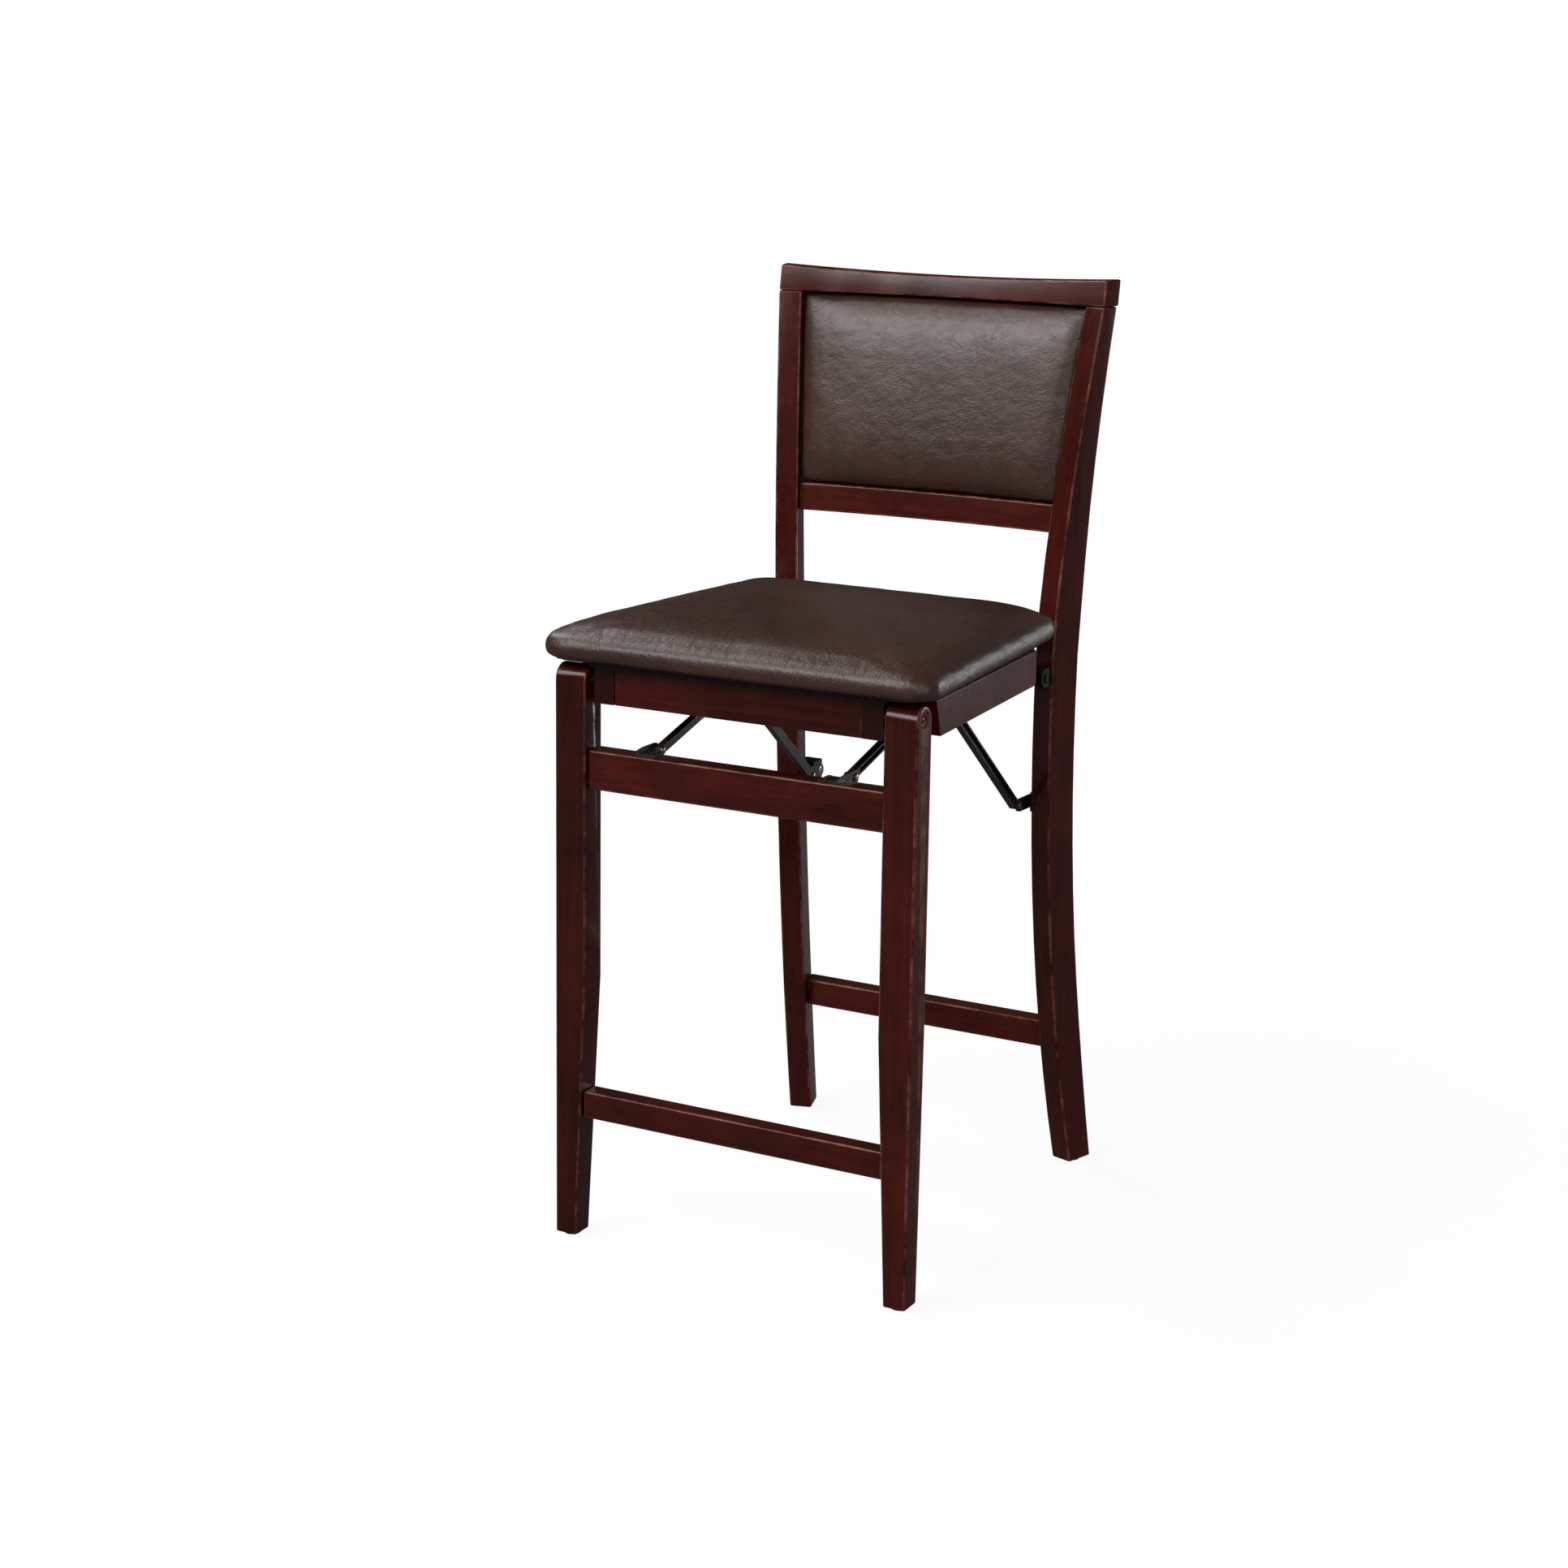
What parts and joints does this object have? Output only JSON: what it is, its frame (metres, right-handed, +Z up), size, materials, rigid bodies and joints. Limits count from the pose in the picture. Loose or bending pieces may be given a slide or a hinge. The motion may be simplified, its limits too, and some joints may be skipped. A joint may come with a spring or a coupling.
{
  "type": "folding counter stool",
  "caption": "Counter-height folding stool with upholstered seat and back, sabre rear legs, rungs, and metal braces that fold seat and front legs flat against the rear frame.",
  "frame": {"origin": "centre of the footprint on the floor", "axes": "+Z up, +Y towards the backrest so the sitter faces -Y, +X to the viewer's right when facing the stool"},
  "size_m": [0.4444, 0.5234, 0.9849],
  "materials": {
    "wood": "espresso stain under satin lacquer",
    "dark_wood": "dark stained blocks",
    "board": "plywood under black dust cloth",
    "leather": "dark brown faux leather with a fine wrinkle grain",
    "metal": "black coated steel",
    "steel": "dark plated rivets and bolts",
    "glide": "matte dark plastic"
  },
  "bodies": {
    "rear_frame": {"rear_leg_left": "wood", "rear_leg_right": "wood", "rear_glide_left": "glide", "rear_glide_right": "glide", "rear_rung": "wood", "crest_rail": "wood", "lower_back_rail": "wood", "back_panel": "board", "back_pad": "leather", "leg_hinge_left": "metal", "leg_hinge_right": "metal", "hinge_pin_left": "steel", "hinge_pin_right": "steel", "brace_bracket_left": "metal", "brace_bracket_right": "metal", "brace_link_pin_left": "steel", "brace_link_pin_right": "steel"},
    "seat": {"front_rail": "wood", "side_rail_left": "wood", "side_rail_right": "wood", "rear_rail": "wood", "pivot_block_left": "dark_wood", "pivot_block_right": "dark_wood", "corner_block_left": "dark_wood", "corner_block_right": "dark_wood", "seat_board": "board", "seat_cushion": "leather", "hinge_tongue_left": "metal", "hinge_tongue_right": "metal", "brace_track_left": "metal", "brace_track_right": "metal", "track_batten_left": "dark_wood", "track_batten_right": "dark_wood", "pivot_bolt_left": "steel", "pivot_bolt_right": "steel", "pivot_washer_left": "steel", "pivot_washer_right": "steel"},
    "front_frame": {"front_leg_left": "wood", "front_leg_right": "wood", "front_glide_left": "glide", "front_glide_right": "glide", "upper_front_rung": "wood", "lower_front_rung": "wood", "rung_bracket_left": "metal", "rung_bracket_right": "metal", "stay_pin_left": "steel", "stay_pin_right": "steel"},
    "link_left": {"brace_link_left": "metal", "knee_rivet_left": "steel"},
    "link_right": {"brace_link_right": "metal", "knee_rivet_right": "steel"},
    "bar_left": {"brace_bar_left": "metal"},
    "bar_right": {"brace_bar_right": "metal"},
    "stay_left": {"front_stay_left": "metal"},
    "stay_right": {"front_stay_right": "metal"}
  },
  "joints": [
    {"name": "seat_fold", "type": "hinge", "parent": "rear_frame", "child": "seat", "pos_m": [0, 0.13984, 0.568], "axis": [1, 0, 0], "range_deg": [0, 90]},
    {"name": "front_leg_swing", "type": "hinge", "parent": "seat", "child": "front_frame", "pos_m": [0, -0.22926, 0.5945], "axis": [1, 0, 0], "range_deg": [-90, 0]},
    {"name": "link_swing_left", "type": "hinge", "parent": "rear_frame", "child": "link_left", "pos_m": [-0.125, 0.19284, 0.42], "axis": [1, 0, 0], "range_deg": [-111.9, 0]},
    {"name": "link_swing_right", "type": "hinge", "parent": "rear_frame", "child": "link_right", "pos_m": [0.125, 0.19284, 0.42], "axis": [1, 0, 0], "range_deg": [-111.9, 0]},
    {"name": "knee_left", "type": "hinge", "parent": "link_left", "child": "bar_left", "pos_m": [-0.125, 0.15884, 0.421], "axis": [1, 0, 0], "range_deg": [0, 224.6]},
    {"name": "knee_right", "type": "hinge", "parent": "link_right", "child": "bar_right", "pos_m": [0.125, 0.15884, 0.421], "axis": [1, 0, 0], "range_deg": [0, 224.6]},
    {"name": "stay_swing_left", "type": "hinge", "parent": "front_frame", "child": "stay_left", "pos_m": [-0.1085, -0.19816, 0.523], "axis": [1, 0, 0], "range_deg": [0, 76.6]},
    {"name": "stay_swing_right", "type": "hinge", "parent": "front_frame", "child": "stay_right", "pos_m": [0.1085, -0.19816, 0.523], "axis": [1, 0, 0], "range_deg": [0, 76.6]}
  ],
  "couplings": [
    {"joint": "front_leg_swing", "follows": "seat_fold", "ratio": -1},
    {"joint": "link_swing_left", "follows": "seat_fold", "ratio": -1.2427},
    {"joint": "link_swing_right", "follows": "seat_fold", "ratio": -1.2427},
    {"joint": "knee_left", "follows": "seat_fold", "ratio": 2.4946},
    {"joint": "knee_right", "follows": "seat_fold", "ratio": 2.4946},
    {"joint": "stay_swing_left", "follows": "seat_fold", "ratio": 0.85033},
    {"joint": "stay_swing_right", "follows": "seat_fold", "ratio": 0.85033}
  ]
}
